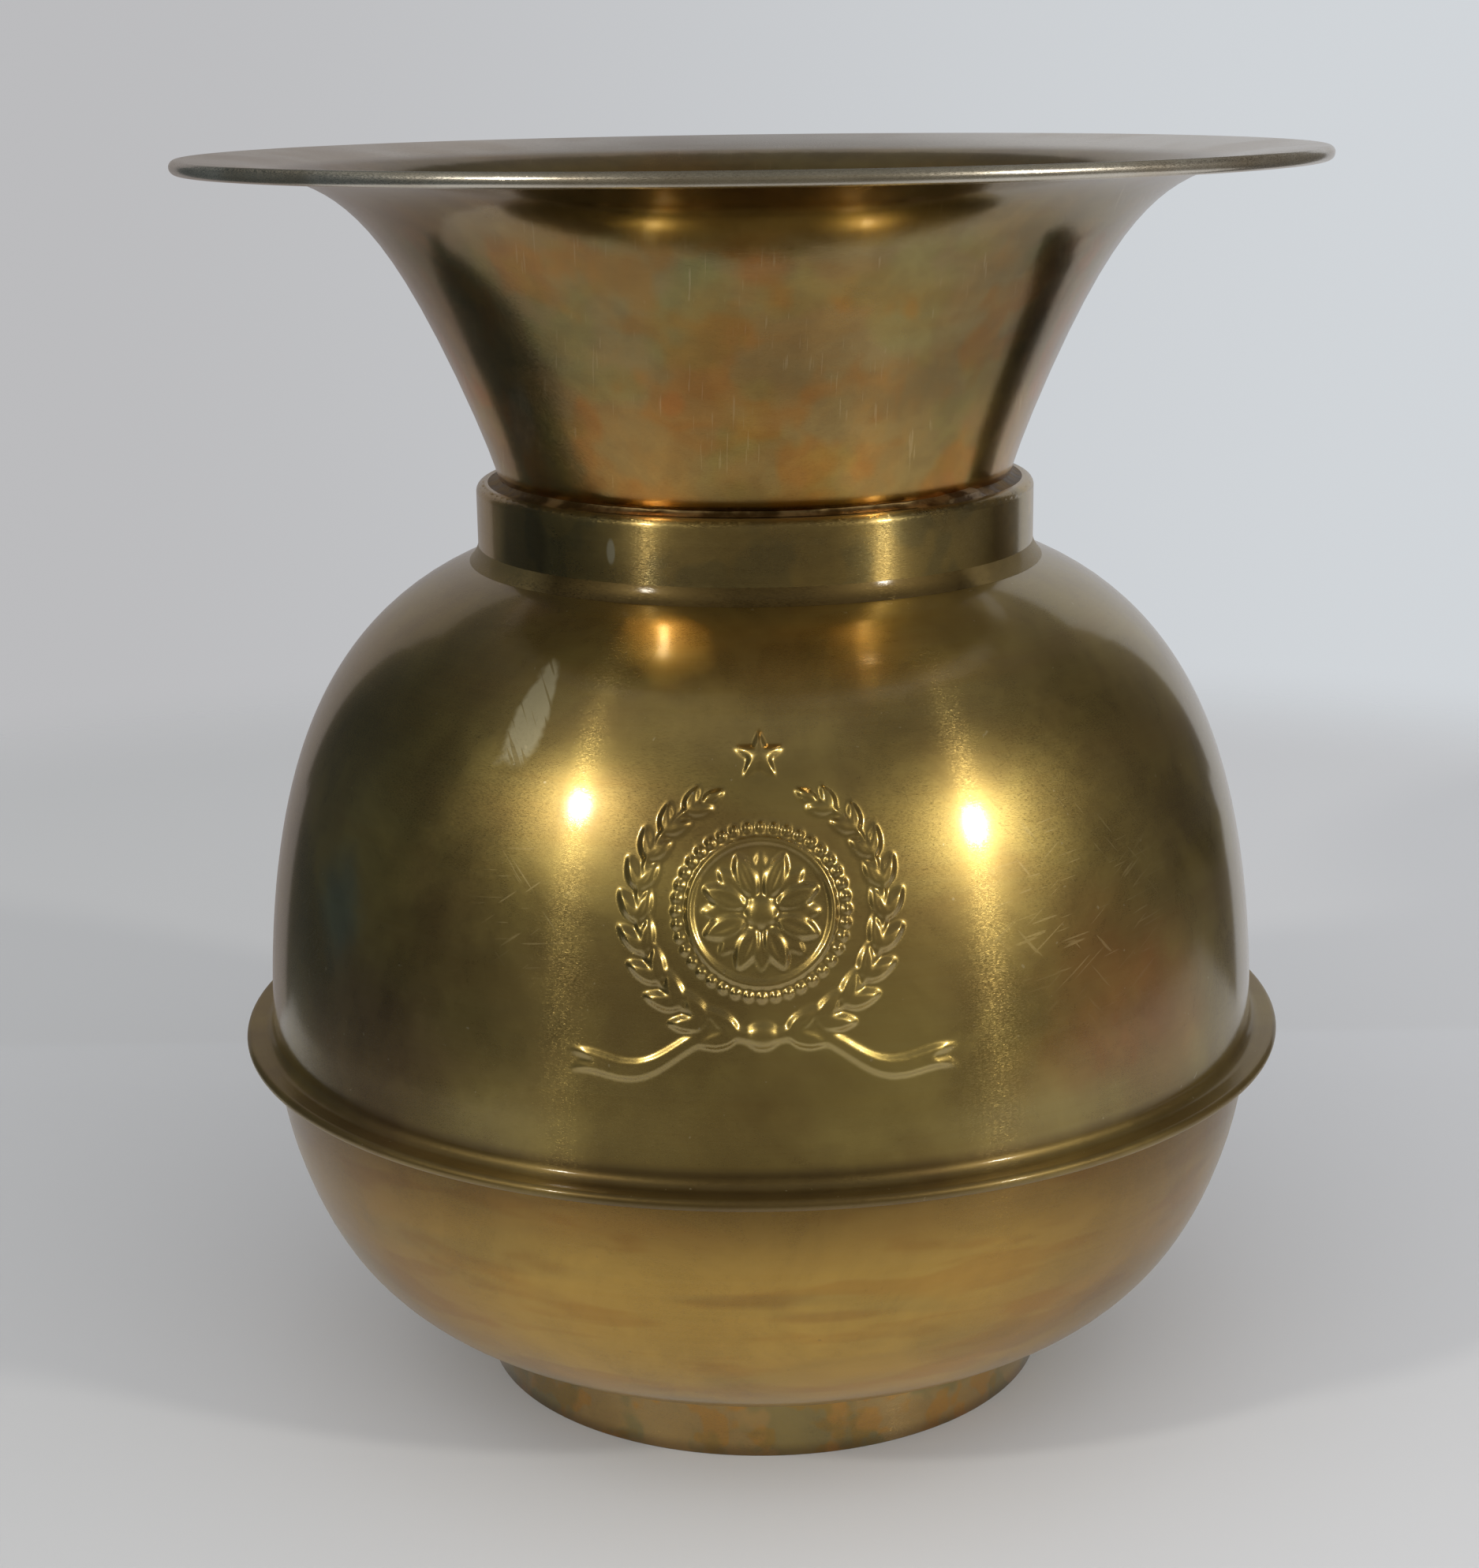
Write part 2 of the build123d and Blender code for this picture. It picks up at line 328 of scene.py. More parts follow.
bowl_tarnish_stretch = (0.5, 0.5, 2.2)
foot_tarnish = [
    (0.6, 90.0, 0.48, 0.58, (0.72, 0.85, 0.9)),
    (1.4, 140.0, 0.52, 0.6, (1.15, 0.95, 0.6)),
]

# Scratches: heading, length and width in millimetres, and the noise from which they show
funnel_strokes = (88, 9, 0.5, 0.66)
funnel_stroke_patches = (2.2, 60.0, 0.5, 0.56)
dome_strokes = (-67, 12, 0.8, 0.36)
dome_scratches = [(38, 12, 0.6, 0.675), (-52, 10, 0.6, 0.68), (8, 8, 0.6, 0.68)]
scratch_depth = 0.3
scratch_edge = 0.05

# Specks: the noise between whose values they show, and how strongly
speck_range = (0.77, 0.8)
speck_share = 0.4
dome_speck_scale = 620.0
bowl_speck_scale = 540.0

# Tones that cover the brass, tints that it is multiplied by, some of them painted light and shade, and how
# much duller a mark is
scuff_share = 0.2
funnel_scuff_tone = (0.5, 0.5, 0.42)
funnel_stroke_tone = (0.62, 0.5, 0.3)
worn_rim_tone = (1.0, 0.96, 0.88)
worn_rim_share = 0.95
worn_rim_dulling = 0.1
rim_painted_reflection_tint = (0.46, 0.44, 0.4)
collar_scuff_tone = (0.66, 0.6, 0.42)
collar_edge_painted_sheen = (1.3, 1.25, 1.2)
joint_painted_shade_tint = (0.46, 0.42, 0.39)
joint_end_painted_sheen = (1.5, 1.5, 1.7)
seam_painted_shade_tint = (0.6, 0.58, 0.58)
seam_dulling = 0.15
dome_scuff_tone = (0.62, 0.57, 0.38)
dome_scuff_share = 0.3
dome_stroke_share = 0.5
dome_scuff_dulling = 0.2
dome_scratch_tone = (0.8, 0.7, 0.42)
dome_scratch_dulling = 0.08
dome_speck_tone = (0.75, 0.66, 0.42)
bowl_speck_tone = (0.25, 0.16, 0.06)
bowl_side_painted_shade = (0.74, 0.7, 0.66)

# Solder and iron: their noises, as the brass has them, and their tones
grime_noise = (160.0, 5.0, 0.6)
solder_tones = [(0.1, 0.06, 0.02), (0.26, 0.18, 0.08)]
solder_range = (0.4, 0.62)
solder_gloss = (0.3, 0.7, 0.32, 0.55)
residue_tones = [(0.12, 0.08, 0.05), (0.45, 0.36, 0.27)]
residue_range = (0.42, 0.56)
pit_noise = (420.0, 4.0)
pit_strength = 0.5
pit_depth = 0.3 * mm
rust_noise = (300.0, 5.0)
rust_range = (0.45, 0.6)
rust_gloss = (0.4, 0.6, 0.35, 0.7)
iron_tone = (0.16, 0.15, 0.14)
rust_tone = (0.2, 0.09, 0.04)


def camera():
    """The camera that sees the object as the photograph does."""
    forward = Vector((
        sin(camera_yaw) * cos(camera_pitch),
        cos(camera_yaw) * cos(camera_pitch),
        -sin(camera_pitch),
    ))
    level = Vector((cos(camera_yaw), -sin(camera_yaw), 0))
    upward = level.cross(forward)
    right = level * cos(camera_roll) + upward * sin(camera_roll)
    up = upward * cos(camera_roll) - level * sin(camera_roll)
    data = bpy.data.cameras.new("camera")
    data.sensor_width = sensor_width
    data.lens = focal_pixels * sensor_width / photo_height
    made = bpy.data.objects.new("camera", data)
    bpy.context.scene.collection.objects.link(made)
    made.matrix_world = Matrix((
        (right.x, up.x, -forward.x, camera_place.x),
        (right.y, up.y, -forward.y, camera_place.y),
        (right.z, up.z, -forward.z, camera_place.z),
        (0, 0, 0, 1),
    ))
    bpy.context.scene.camera = made


def lamp(name, azimuth, elevation, power):
    """A small round lamp that shines at the object from a direction."""
    data = bpy.data.lights.new(name, "AREA")
    data.shape = "DISK"
    data.size = lamp_size
    data.energy = power
    data.color = lamp_colour
    made = bpy.data.objects.new(name, data)
    bpy.context.scene.collection.objects.link(made)
    a, e = radians(azimuth), radians(elevation)
    way = Vector((sin(a) * cos(e), -cos(a) * cos(e), sin(e)))
    made.location = way * lamp_distance + Vector((0, 0, ornament_height))
    made.rotation_mode = "QUATERNION"
    made.rotation_quaternion = way.to_track_quat("Z", "Y")


def outline(node):
    """Closed outline of a turned node as radius and height, from its mesh edges on the +X side of y = 0."""
    mesh = frame["nodes"][node].data
    joined = {}
    for edge in mesh.edges:
        ends = [mesh.vertices[index].co for index in edge.vertices]
        if all(abs(co.y) < 1e-6 and co.x > 0 for co in ends):
            first, last = [(round(co.x, 6), round(co.z, 6)) for co in ends]
            joined.setdefault(first, set()).add(last)
            joined.setdefault(last, set()).add(first)
    path = [max(joined, key=lambda spot: spot[1])]
    path.append(max(joined[path[0]]))
    while len(path) < len(joined):
        path += joined[path[-1]] - {path[-2]}
    r, z = np.array(path).T
    if np.sum(r * np.roll(z, -1) - np.roll(r, -1) * z) < 0:
        path.reverse()
    return np.array(path)


def refined(path, low, high, step):
    """The outline with smooth extra points on its outer wall between two heights."""
    rows = []
    count = len(path)
    for index in range(count):
        before, start, end, after = (path[(index + shift) % count] for shift in (-1, 0, 1, 2))
        rows.append(start)
        outward = end[1] > start[1]
        if outward and start[1] > low and end[1] < high:
            extra = int(np.hypot(*(end - start)) / step)
            square = 2 * before - 5 * start + 4 * end - after
            cube = 3 * start - before - 3 * end + after
            for t in np.arange(1, extra + 1) / (extra + 1):
                bend = square * t * t + cube * t**3
                rows.append(start + ((end - before) * t + bend) / 2)
    return np.array(rows)


def turned(name, path, angles, lift):
    """A mesh turned from an outline, its surface lifted by an amount for each angle and outline point."""
    run = np.roll(path, -1, axis=0) - np.roll(path, 1, axis=0)
    run /= np.hypot(run[:, 0], run[:, 1])[:, None]
    r = path[:, 0] + lift * run[:, 1]
    z = path[:, 1] - lift * run[:, 0]
    turn = np.radians(angles)[:, None]
    verts = np.stack([r * np.sin(turn), -r * np.cos(turn), z], axis=-1).reshape(-1, 3)
    column = np.arange(len(angles))[:, None]
    row = np.arange(len(path))[None, :]
    next_column = (column + 1) % len(angles)
    next_row = (row + 1) % len(path)
    width = len(path)
    corners = (column * width + row, next_column * width + row,
               next_column * width + next_row, column * width + next_row)
    faces = np.stack([np.broadcast_to(c, (len(angles), width)) for c in corners], axis=-1).reshape(-1, 4)
    mesh = bpy.data.meshes.new(name)
    mesh.from_pydata(verts.tolist(), [], faces.tolist())
    mesh.polygons.foreach_set("use_smooth", [True] * len(mesh.polygons))
    mesh.set_sharp_from_angle(angle=radians(crease_angle))
    made = bpy.data.objects.new(name, mesh)
    bpy.context.scene.collection.objects.link(made)
    return made


def dome(share):
    """Height of a rounded boss, from 1 in the middle to 0 where the share reaches 1."""
    return np.clip(1 - share * share, 0, 1) ** roundness


def leaf(u, v, root, heading, length, width):
    """Relief of a pointed leaf with a sunk midrib."""
    a = radians(heading)
    along = ((u - root[0]) * cos(a) + (v - root[1]) * sin(a)) / length
    across = (v - root[1]) * cos(a) - (u - root[0]) * sin(a)
    half = width * np.sin(pi * np.clip(along, 0, 1) ** leaf_point) + 1e-9
    inside = (along > 0) & (along < 1)
    rib = 1 - midrib_depth * np.exp(-((across / (midrib_width * width)) ** 2))
    return np.where(inside, dome(across / half) * rib, 0)


def rosette(u, v):
    """Boss, two rings of petals, a plain ring and a ring of beads."""
    far = np.hypot(u, v)
    relief_map = np.maximum(dome(far / boss_radius), ring_rise * dome((far - ring_radius) / ring_width))
    length, width = petal_length * inner_petal_size, petal_width * inner_petal_size
    for k in range(petal_count):
        a = 360 * (k + 0.5) / petal_count
        root = (petal_root * cos(radians(a)), petal_root * sin(radians(a)))
        relief_map = np.maximum(relief_map, leaf(u, v, root, a, petal_length, petal_width))
        between = a + 180 / petal_count
        root = (2 * petal_root * cos(radians(between)), 2 * petal_root * sin(radians(between)))
        relief_map = np.maximum(relief_map, inner_petal_size * leaf(u, v, root, between, length, width))
    for k in range(bead_count):
        a = 2 * pi * k / bead_count
        bead = np.hypot(u - bead_ring * cos(a), v - bead_ring * sin(a))
        relief_map = np.maximum(relief_map, bead_rise * dome(bead / bead_radius))
    return relief_map


def branch(u, v):
    """A laurel branch that curves up on the right, with paired leaves, berries and a leaf at its tip."""
    turn = np.degrees(np.arctan2(u, -v))
    on_stem = (turn > branch_foot / 2) & (turn < branch_tip)
    relief_map = np.where(on_stem, stem_rise * dome((np.hypot(u, v) - branch_radius) / stem_width), 0)
    step = (branch_tip - branch_foot) / leaf_pairs
    for k in range(leaf_pairs):
        place = branch_foot + step * (k + leaf_start)
        a = radians(place)
        root = (branch_radius * sin(a), -branch_radius * cos(a))
        size = 1 - leaf_taper * k / leaf_pairs
        for side in (-1, 1):
            grown = leaf(u, v, root, place + side * leaf_spread, leaf_length * size, leaf_width * size)
            relief_map = np.maximum(relief_map, grown)
            b = a + radians(step * berry_start)
            out = branch_radius + side * leaf_width * berry_out * size
            berry = np.hypot(u - out * sin(b), v + out * cos(b))
            relief_map = np.maximum(relief_map, berry_rise * dome(berry / (berry_size * leaf_width)))
    a = radians(branch_tip)
    tip = (branch_radius * sin(a), -branch_radius * cos(a))
    grown = leaf(u, v, tip, branch_tip, leaf_length * tip_leaf_size, leaf_width * tip_leaf_size)
    return np.maximum(relief_map, grown)


def ribbon(u, v):
    """The right-hand tail of the ribbon that ties the branches, waved, with a forked end."""
    along = (u - knot_size) / (ribbon_reach - knot_size)
    share = np.clip(along, 0, 1)
    middle = -branch_radius - ribbon_fall * share + ribbon_wave * np.sin(2 * pi * ribbon_turns * share)
    half = ribbon_width * (ribbon_narrow + ribbon_widening * share)
    across = (v - middle) / half
    fork = 1 - ribbon_fork * (1 - np.abs(across))
    inside = (along > 0) & (along < fork) & (np.abs(across) < 1)
    edge = np.clip(ribbon_side * (1 - np.abs(across)), 0, 1) * np.clip(ribbon_end * (fork - along), 0, 1)
    return np.where(inside, ribbon_rise * edge * (1 - ribbon_hollow * dome(across)), 0)


def star(u, v):
    """A raised star with ridges that run from its middle to its points."""
    half = 180 / star_points
    far = np.hypot(u, v - star_height)
    turn = np.radians(np.abs((np.degrees(np.arctan2(u, v - star_height)) + half) % (2 * half) - half))
    notch = radians(half)
    edge = sin(notch) / (np.sin(notch - turn) / star_radius + np.sin(turn) / (star_notch * star_radius))
    rise = np.clip(1 - far / edge, 0, 1)
    return np.clip(star_side * rise, 0, 1) * (star_foot + (1 - star_foot) * rise)


def softened(relief_map):
    """The relief blurred a little, as pressed sheet is."""
    for _ in range(soften_passes):
        for axis in (0, 1):
            relief_map = (np.roll(relief_map, 1, axis) + 2 * relief_map + np.roll(relief_map, -1, axis)) / 4
    return relief_map


def ornament(path, angles):
    """Relief of the ornament for each angle and outline point of the upper bowl."""
    step = np.hypot(*np.diff(path, axis=0).T)
    length = np.concatenate([[0], np.cumsum(step)])
    rising = np.roll(path[:, 1], -1) > path[:, 1]
    zone = rising & (path[:, 1] > zone_low) & (path[:, 1] < zone_high)
    centre = np.interp(ornament_height, path[zone, 1], length[zone])
    u = np.radians(angles)[:, None] * path[None, :, 0]
    v = np.broadcast_to(length - centre, u.shape)
    knot = dome(np.hypot(u / knot_stretch, v + branch_radius) / knot_size)
    parts = [rosette(u, v), star(u, v), knot, branch(np.abs(u), v), ribbon(np.abs(u), v)]
    return relief * softened(np.max(parts, axis=0)) * zone[None, :]


def upper_bowl():
    """The upper bowl with its raised ornament, in the place of the plain node."""
    path = refined(outline("upper_bowl"), zone_low, zone_high, row_step)
    front = np.arange(-front_angle, front_angle, front_step)
    rest = np.arange(front_angle, 360 - front_angle, round_step)
    lift = np.zeros((len(front) + len(rest), len(path)))
    lift[:len(front)] = ornament(path, front)
    made = turned("upper_bowl_wall", path, np.concatenate([front, rest]), lift)
    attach(made, "root")
    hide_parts("upper_bowl")
    return made


def round_noise(angles, size, shift):
    """Noise read along a circle, for each angle."""
    spots = [Vector((size * cos(radians(a)), size * sin(radians(a)), shift)) for a in angles]
    return np.array([noise_at(spot) for spot in spots])


def neck_solder():
    """The solder round the neck, uneven as it ran, heaped up on the right of the front."""
    path = outline("neck_solder")
    angles = np.arange(-180, 180, round_step)
    lumps = round_noise(angles, lump_turns, 0)
    fine = round_noise(angles, fine_lump_turns, fine_lump_shift)
    heap = np.exp(-(((angles - lump_place) / lump_width) ** 2))
    sink = solder_sink * np.cos(np.radians(np.clip(2 * angles, -90, 90)))
    rise = lump_height * (lump_share * lumps + fine_lump_share * fine) - sink
    rise += lump_peak * (lump_peak_foot + fine) * heap
    lowest = path.min(axis=0)
    face = (path[:, 0] > lowest[0] + seam_slack) & (path[:, 1] > lowest[1] + seam_slack)
    lift = rise[:, None] * face[None, :]
    made = turned("neck_solder_bead", path, angles, lift)
    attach(made, "root")
    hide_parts("neck_solder")
    return made


def add(tree, kind, inputs=None, **settings):
    """A node of one kind, with its settings, and its inputs given as values or as sockets of other nodes."""
    made = tree.nodes.new(kind)
    for name, value in settings.items():
        setattr(made, name, value)
    for key, value in (inputs or {}).items():
        if isinstance(value, bpy.types.NodeSocket):
            tree.links.new(value, made.inputs[key])
        else:
            made.inputs[key].default_value = value
    return made


def calc(tree, operation, a, b=0.0, c=0.0):
    """The result of one sum on numbers or sockets."""
    return add(tree, "ShaderNodeMath", {0: a, 1: b, 2: c}, operation=operation).outputs[0]


def vector_calc(tree, operation, a, b=(0.0, 0.0, 0.0), output="Vector"):
    """The result of one sum on vectors."""
    return add(tree, "ShaderNodeVectorMath", {0: a, 1: b}, operation=operation).outputs[output]


def object_place(tree):
    """Where a point is, in the object's own coordinates."""
    return add(tree, "ShaderNodeTexCoord").outputs["Object"]


def axes(tree, vector):
    """The three numbers of a vector."""
    return add(tree, "ShaderNodeSeparateXYZ", {0: vector}).outputs


def joined_axes(tree, x, y, z):
    """A vector made of three numbers."""
    return add(tree, "ShaderNodeCombineXYZ", {0: x, 1: y, 2: z}).outputs[0]


def spread(tree, value, low, high, to_low=0.0, to_high=1.0):
    """A value eased from one range to another."""
    inputs = {"Value": value, "From Min": low, "From Max": high, "To Min": to_low, "To Max": to_high}
    return add(tree, "ShaderNodeMapRange", inputs, interpolation_type="SMOOTHSTEP").outputs["Result"]


def noise(tree, vector, scale, detail=3.0, roughness=0.5, distortion=0.0):
    """Smooth noise from 0 to 1."""
    made = add(tree, "ShaderNodeTexNoise", {
        "Vector": vector,
        "Scale": scale,
        "Detail": detail,
        "Roughness": roughness,
        "Distortion": distortion,
    })
    return made.outputs["Fac"]


def mix(tree, share, a, b, blend="MIX"):
    """Two colours mixed by a share."""
    made = add(tree, "ShaderNodeMix", data_type="RGBA", blend_type=blend)
    sockets = [s for s in made.inputs if s.enabled]
    for socket, value in zip(sockets, (share, a, b)):
        if isinstance(value, bpy.types.NodeSocket):
            tree.links.new(value, socket)
        elif isinstance(value, tuple):
            socket.default_value = (*value, 1.0)
        else:
            socket.default_value = value
    return next(s for s in made.outputs if s.enabled)


def stretch(tree, vector, scale):
    """Coordinates multiplied along each axis."""
    return vector_calc(tree, "MULTIPLY", vector, scale)


def turned_coordinates(tree, place, lean):
    """Coordinates for lines that a lathe leaves: quick change along the outline, slow change round it."""
    x, y, z = axes(tree, place)
    square = calc(tree, "ADD", calc(tree, "MULTIPLY", x, x), calc(tree, "MULTIPLY", y, y))
    along = calc(tree, "ADD", z, calc(tree, "MULTIPLY", calc(tree, "SQRT", square), lean))
    return joined_axes(tree, x, y, along)


def near(tree, place, middle, reach, soft=0.4, ragged=0.6, scale=120.0):
    """A mask: 1 in the middle of an ellipsoid given in millimetres, 0 outside it, with a ragged edge."""
    away = vector_calc(tree, "SUBTRACT", place, tuple(c * mm for c in middle))
    scaled = stretch(tree, away, tuple(1 / (r * mm) for r in reach))
    far = vector_calc(tree, "LENGTH", scaled, output="Value")
    wobble = calc(tree, "MULTIPLY_ADD", noise(tree, place, scale), ragged, -0.5 * ragged)
    return spread(tree, calc(tree, "ADD", far, wobble), 1.0, soft)


def slanted(tree, place, middle, slope, taper):
    """Coordinates that lean with a slope about a point given in millimetres, and narrow upwards."""
    x, y, z = axes(tree, place)
    up = calc(tree, "SUBTRACT", z, middle[2] * mm)
    across = calc(tree, "SUBTRACT", calc(tree, "MULTIPLY_ADD", up, -slope, x), middle[0] * mm)
    narrow = calc(tree, "MULTIPLY_ADD", up, taper / mm, 1.0)
    moved = calc(tree, "MULTIPLY_ADD", across, narrow, middle[0] * mm)
    return joined_axes(tree, moved, y, z)


def scratches(tree, place, heading, length, width, least):
    """A mask of fine straight scratches that run at one heading across the front."""
    inputs = {"Vector": place, "Angle": radians(heading)}
    leaned = add(tree, "ShaderNodeVectorRotate", inputs, rotation_type="Y_AXIS").outputs[0]
    finest = (1 / (length * mm), scratch_depth / (length * mm), 1 / (width * mm))
    return spread(tree, noise(tree, stretch(tree, leaned, finest), 1.0, 1.0), least, least + scratch_edge)


def patches(tree, place, shift, scale, least, most):
    """A mask of soft patches. The shift makes one set of patches differ from the next."""
    moved = vector_calc(tree, "ADD", place, (shift, shift, -shift))
    return spread(tree, noise(tree, moved, scale, 2.0, 0.5, 0.2), least, most)


def height_mask(tree, place, low, high):
    """A mask that rises from 0 to 1 between two heights in millimetres."""
    return spread(tree, axes(tree, place)[2], low * mm, high * mm)


def shaded(tree, share, colour, tint):
    """A colour multiplied by a tint where the mask says so."""
    return mix(tree, share, colour, tint, "MULTIPLY")


def covered(tree, share, most, colour, tone):
    """A colour covered by another where the mask says so, up to a share."""
    return mix(tree, calc(tree, "MULTIPLY", share, most), colour, tone)


def stains_and_painted_light(tree, place, colour, stains):
    """A colour multiplied by the tint of each entry of a table of stains and painted light."""
    for *spot, tint in stains:
        colour = shaded(tree, near(tree, place, *spot), colour, tint)
    return colour


def banded(tree, place, colour, bands):
    """A colour multiplied by the tint of each band."""
    for start, full, tint in bands:
        colour = shaded(tree, height_mask(tree, place, start, full), colour, tint)
    return colour


def tarnished(tree, place, colour, tarnish, within=1.0):
    """A colour multiplied by the tint of each set of soft patches, inside a mask."""
    for *kind, tint in tarnish:
        share = calc(tree, "MULTIPLY", patches(tree, place, *kind), within)
        colour = shaded(tree, share, colour, tint)
    return colour


def specked(tree, place, colour, scale, tone):
    """A colour with small specks of another."""
    specks = spread(tree, noise(tree, place, scale, 1.0), *speck_range)
    return covered(tree, specks, speck_share, colour, tone)


def funnel_marks_and_painted_light(tree, place, colour, polish):
    """Greenish and orange tarnish, a brighter foot, painted shade at the neck, painted reflections, a pale
    worn rim.
    """
    colour = stains_and_painted_light(tree, place, colour, funnel_stains_and_painted_reflection)
    colour = tarnished(tree, place, colour, funnel_body_tarnish, height_mask(tree, place, *funnel_body))
    colour = tarnished(tree, place, colour, funnel_tarnish)
    colour = covered(tree, near(tree, place, *funnel_scuff), scuff_share, colour, funnel_scuff_tone)
    strokes = calc(tree, "MULTIPLY", scratches(tree, place, *funnel_strokes),
                   patches(tree, place, *funnel_stroke_patches))
    colour = covered(tree, strokes, scuff_share, colour, funnel_stroke_tone)
    colour = banded(tree, place, colour, funnel_bands)
    colour = stains_and_painted_light(tree, place, colour, funnel_left_scuff_and_painted_reflection)
    worn = height_mask(tree, place, *worn_rim)
    polish = calc(tree, "MULTIPLY_ADD", worn, worn_rim_dulling, polish)
    colour = covered(tree, worn, worn_rim_share, colour, worn_rim_tone)
    # Painted reflection: the worn rim darker in its middle, at the front and the back, than at its sides
    middle = calc(tree, "MULTIPLY", worn, near(tree, place, *rim_painted_reflection_middle))
    colour = shaded(tree, middle, colour, rim_painted_reflection_tint)
    return tarnished(tree, place, colour, rim_tarnish, worn), polish


def collar_marks_and_painted_light(tree, place, colour, polish):
    """An oval scuff, tarnish, darker ends and paler edges: painted dark reflections and a painted sheen."""
    colour = mix(tree, near(tree, place, *collar_scuff), colour, collar_scuff_tone)
    colour = tarnished(tree, place, colour, collar_tarnish)
    colour = stains_and_painted_light(tree, place, colour, collar_painted_dark_ends)
    # Painted sheen: paler along the edges, where the collar mirrors the pale board at a glancing angle
    edges = calc(tree, "SUBTRACT", 1.0, near(tree, place, *collar_middle_without_sheen))
    return shaded(tree, edges, colour, collar_edge_painted_sheen), polish


def joint_painted_shade_and_sheen(tree, place, colour, polish):
    """Darker in front with painted shade that also dims the glints there, paler at the ends with a painted
    sheen.
    """
    front = near(tree, place, *joint_painted_shade_front)
    colour = shaded(tree, calc(tree, "SUBTRACT", 1.0, front), colour, joint_end_painted_sheen)
    return shaded(tree, front, colour, joint_painted_shade_tint), polish


def dome_marks_and_painted_light(tree, place, colour, polish):
    """Bluish and reddish tarnish, painted reflections and shade, a darker seam, a scuff beside the left
    glow, fine scratches and specks.
    """
    colour = stains_and_painted_light(tree, place, colour, dome_stains_and_painted_light)
    colour = banded(tree, place, colour, dome_bands)
    colour = tarnished(tree, place, colour, dome_tarnish)
    seam = height_mask(tree, place, *seam_band)
    # Painted shade: the seam darker at the front, where its bead mirrors the dark room
    front = calc(tree, "MULTIPLY", seam, near(tree, place, *seam_front_painted_shade))
    colour = shaded(tree, front, colour, seam_painted_shade_tint)
    polish = calc(tree, "MULTIPLY_ADD", seam, seam_dulling, polish)
    leaned = slanted(tree, place, dome_scuff[0], dome_scuff_slope, dome_scuff_taper)
    strokes = scratches(tree, place, *dome_strokes)
    strokes = calc(tree, "MULTIPLY_ADD", strokes, dome_stroke_share, dome_scuff_share)
    scuff = calc(tree, "MULTIPLY", near(tree, leaned, *dome_scuff), strokes)
    colour = mix(tree, scuff, colour, dome_scuff_tone)
    polish = calc(tree, "MULTIPLY_ADD", scuff, dome_scuff_dulling, polish)
    fine = 0.0
    for scratch in dome_scratches:
        fine = calc(tree, "MAXIMUM", fine, scratches(tree, place, *scratch))
    right, left = [near(tree, place, *spot) for spot in dome_scratched]
    fine = calc(tree, "MULTIPLY", fine, calc(tree, "MAXIMUM", right, left))
    colour = covered(tree, fine, scuff_share, colour, dome_scratch_tone)
    polish = calc(tree, "MULTIPLY_ADD", fine, dome_scratch_dulling, polish)
    return specked(tree, place, colour, dome_speck_scale, dome_speck_tone), polish


def bowl_marks_and_painted_shade(tree, place, colour, polish):
    """Faint level stains, tarnish in patches, and painted shade on the upper part and on the sides."""
    colour = tarnished(tree, stretch(tree, place, bowl_tarnish_stretch), colour, bowl_tarnish)
    colour = stains_and_painted_light(tree, place, colour, bowl_stains)
    colour = banded(tree, place, colour, bowl_painted_shade_band)
    # Painted shade: darker away from the middle of the front
    sides = calc(tree, "SUBTRACT", 1.0, near(tree, place, *bowl_middle))
    colour = shaded(tree, sides, colour, bowl_side_painted_shade)
    return specked(tree, place, colour, bowl_speck_scale, bowl_speck_tone), polish


def foot_marks_and_painted_shadow(tree, place, colour, polish):
    """Greenish mottling and a painted contact shadow along the lower edge."""
    colour = tarnished(tree, place, colour, foot_tarnish)
    return banded(tree, place, colour, foot_painted_contact_shadow), polish


def material(name):
    """An empty material with its tree and its output."""
    made = bpy.data.materials.new(name)
    made.use_nodes = True
    made.node_tree.nodes.clear()
    out = made.node_tree.nodes.new("ShaderNodeOutputMaterial")
    return made, made.node_tree, out


def tipped(tree, normal, by):
    """A normal that leans up or down by a small amount."""
    leaning = vector_calc(tree, "ADD", normal, joined_axes(tree, 0.0, 0.0, by))
    return vector_calc(tree, "NORMALIZE", leaning)


def bump(tree, height, strength, depth, normal=None):
    """A normal bent by a height, on top of another normal if there is one."""
    inputs = {"Strength": strength, "Distance": depth, "Height": height}
    if normal is not None:
        inputs["Normal"] = normal
    return add(tree, "ShaderNodeBump", inputs).outputs[0]


